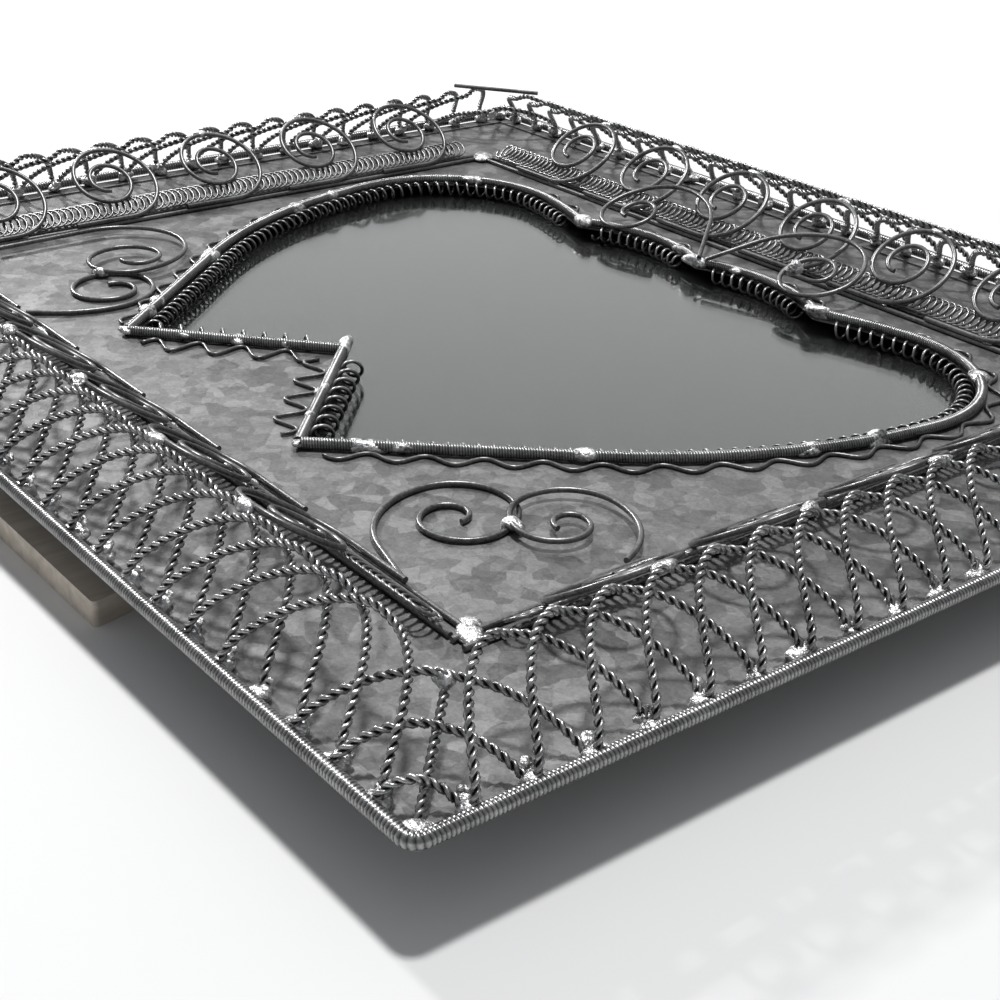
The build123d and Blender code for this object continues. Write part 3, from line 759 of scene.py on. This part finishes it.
heart_places = [
    (tip, 0.6), (cusp, 1), (notch, 0.9), (cleft, 1),
    ((0.09, 0.86), 0.9), ((0.41, -0.725), 0.9), ((0.45, -0.66), 0.7),
    ((0.655, -0.34), 1), ((0.868, 0.11), 0.9), ((0.905, 0.286), 0.8), ((0.803, 0.774), 1),
    ((0.155, -0.622), 0.7), ((0.085, -0.537), 0.7), ((0.245, -0.731), 0.7),
]
rods = np.vstack(heart_lines())
rod_ways = np.vstack([unit(np.gradient(line, axis=0)) for line in heart_lines()])
heart_drops = []
for share, size in heart_places:
    near = np.argmin(np.linalg.norm(rods - shared(share), axis=1))
    for way in ((1, -1) if share[0] else (1,)):
        middle = np.array([rods[near][0] * way, rods[near][1], heart_height - heart_drop_sink])
        heading = np.arctan2(rod_ways[near][1], rod_ways[near][0] * way)
        heart_drops.append(drop(middle, np.array(heart_drop) * size, face_height + wire_gap, heading))
piece("heart_drops", heart_drops, solder, ["heart_solder"])

scroll_drops = []
for share in ((0.782, -0.685), (-0.68, -0.685)):
    middle = np.array([*shared(share), face_height + scroll_drop_lift])
    scroll_drops.append(drop(middle, scroll_drop, face_height + wire_gap))
piece("scroll_drops", scroll_drops, solder, ["corner_scroll_solder"])
ball_low, ball_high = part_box("centre_bead")
ball = (np.array(ball_low) + np.array(ball_high)) / 2 / millimetre
piece("centre_drop", [drop(ball, centre_drop_size, 0)], solder, ["centre_bead"])

# The glass and what lies behind it. A pane of window glass covers a black card, and the
# card lies on a thin board painted black.


def finish_glass():
    glass = Finish("picture_glass", Base_Color=(0.93, 0.96, 0.95, 1), IOR=1.5, Transmission_Weight=1.0)
    glass.feed(glass.shader.inputs["Roughness"], 0.03 + 0.05 * glass.noise(35, 4))
    glass.bump(glass.noise(9, 2), 0.0002, 0.3)
    return glass


def finish_card():
    card = Finish("black_card", Specular_IOR_Level=0.3)
    fibre = card.noise(900, 4, 0.6, (1, 0.3, 1))
    card.feed(card.shader.inputs["Base Color"], card.ramp(fibre, [(0.3, grey(0.008)), (0.7, grey(0.02))]))
    card.feed(card.shader.inputs["Roughness"], 0.6 + 0.2 * fibre)
    card.bump(fibre, 0.00005)
    return card


finish_glass().put("glass_pane")
finish_card().put("display_card")

# The woodwork. Four black rails hold the glass in a rebate, and a thin board closes the
# back. The strut is pale raw wood, its inner face near black almost to the edges: painted
# shade of the gap under the frame.


def finish_black_wood():
    wood = Finish("black_painted_wood", Specular_IOR_Level=0.4)
    grain = wood.noise(130, 5, 0.6, (0.12, 1, 1))
    wear = wood.noise(60, 4)
    wood.feed(wood.shader.inputs["Base Color"], wood.ramp(0.7 * grain + 0.3 * wear, [
        (0.3, grey(0.012)), (0.6, grey(0.03)), (0.8, grey(0.06, 0.1))]))
    wood.feed(wood.shader.inputs["Roughness"], 0.4 + 0.25 * grain)
    wood.bump(grain, 0.00015)
    return wood


def finish_strut():
    """Pale grain along the strut, and near black painted shade of the gap under the frame on its top face,
    inside a narrow border.
    """
    wood = Finish("strut_wood", Specular_IOR_Level=0.35)
    grain = wood.noise(420, 5, 0.6, (1, 0.06, 1))
    band = wood.noise(60, 3, 0.5, (1, 0.2, 1))
    pale = wood.ramp(0.6 * grain + 0.4 * band, [(0.3, (0.38, 0.33, 0.27, 1)), (0.7, (0.72, 0.66, 0.58, 1))])
    ragged = 0.0015 * wood.noise(300, 3)
    x = wood.field("ShaderNodeMath", {"operation": "ABSOLUTE"}, {0: wood.part(wood.place, 0)})
    y = wood.part(wood.place, 1)
    z = wood.part(wood.place, 2)
    edge = 0.0485 - 0.212 * (y + 0.1266)
    # Inside a narrow border the top face turns near black: painted shade of the gap under the frame.
    gap_shade = x.below(edge + ragged) * y.above(-0.1221 + ragged) * z.above(0.0051)
    wood.feed(wood.shader.inputs["Base Color"], wood.mix(gap_shade, pale, grey(0.02)))
    wood.feed(wood.shader.inputs["Roughness"], 0.75 - 0.3 * gap_shade + 0.1 * grain)
    wood.bump(grain, 0.00025)
    return wood


finish_black_wood().put("rail_top", "rail_bottom", "rail_left", "rail_right", "back_board")
finish_strut().put("easel_strut")

# The hardware behind: a small butt hinge for the strut, four turn buttons and their
# screws, all of plated steel that has dulled.

plated_steel = finish_wire("plated_steel", grey(0.32), grey(0.55), 0.9, 0.36)
plated_steel.put("hinge_leaf_board", "hinge_leaf_strut", "hinge_pin", "hinge_screws_board",
                 "hinge_screws_strut", "turn_button_screws")
for place in ("upper_right", "lower_right", "upper_left", "lower_left"):
    plated_steel.put(f"turn_button_{place}")

# The stage: a pale floor, a small lamp overhead, a weaker low one and a wide one like a
# window, all from behind, and the camera where the photograph was taken.


def stage_floor():
    size = 4.0
    floor = bpy.data.meshes.new("floor")
    corners = [(-size, -size, 0), (size, -size, 0), (size, size, 0), (-size, size, 0)]
    floor.from_pydata(corners, [], [(0, 1, 2, 3)])
    paper = Finish("pale_paper", Roughness=0.7, Specular_IOR_Level=0.2)
    tone = paper.noise(3, 2)
    paper.feed(paper.shader.inputs["Base Color"], paper.ramp(tone, [(0.3, grey(0.77)), (0.7, grey(0.8))]))
    floor.materials.append(paper.material)
    made = bpy.data.objects.new("floor", floor)
    bpy.context.scene.collection.objects.link(made)


def lamp(name, azimuth, elevation, distance, wide, high, power):
    """A flat lamp that points at the middle of the frame."""
    data = bpy.data.lights.new(name, "AREA")
    data.shape = "RECTANGLE"
    data.size = wide
    data.size_y = high
    data.energy = power
    made = bpy.data.objects.new(name, data)
    a, e = radians(azimuth), radians(elevation)
    away = Vector((sin(a) * cos(e), -cos(a) * cos(e), sin(e)))
    made.location = away * distance
    made.rotation_euler = away.to_track_quat("Z", "Y").to_euler()
    bpy.context.scene.collection.objects.link(made)


stage_floor()
lamp("key_lamp", 225, 79, 2.6, 0.26, 0.26, 50)
lamp("low_lamp", 268, 30, 2.0, 0.1, 0.1, 20)
lamp("window_lamp", 231, 24, 2.0, 2.2, 1.3, 6)
bpy.context.scene.view_settings.view_transform = "Standard"

world = bpy.data.worlds.new("studio")
bpy.context.scene.world = world
world.use_nodes = True
world.node_tree.nodes["Background"].inputs["Color"].default_value = (0.95, 0.97, 1.0, 1)
world.node_tree.nodes["Background"].inputs["Strength"].default_value = 0.3

camera_azimuth = radians(51.18)
camera_elevation = radians(26.83)
camera_roll = radians(1.78)
camera_distance = 0.3064
camera_aim = Vector((0.0788, -0.0549, 0.014))
camera_lens = 59.3
back = Vector((sin(camera_azimuth) * cos(camera_elevation), -cos(camera_azimuth) * cos(camera_elevation),
               sin(camera_elevation)))
level = Vector((cos(camera_azimuth), sin(camera_azimuth), 0))
over = back.cross(level)
right = level * cos(camera_roll) + over * sin(camera_roll)
up = over * cos(camera_roll) - level * sin(camera_roll)
camera = bpy.data.objects.new("camera", bpy.data.cameras.new("camera"))
camera.data.lens = camera_lens
camera.data.sensor_width = 36
camera.data.clip_start = 0.01
camera.matrix_world = Matrix((
    (right.x, up.x, back.x, 0), (right.y, up.y, back.y, 0), (right.z, up.z, back.z, 0), (0, 0, 0, 1)))
camera.location = camera_aim + back * camera_distance
bpy.context.scene.collection.objects.link(camera)
bpy.context.scene.camera = camera
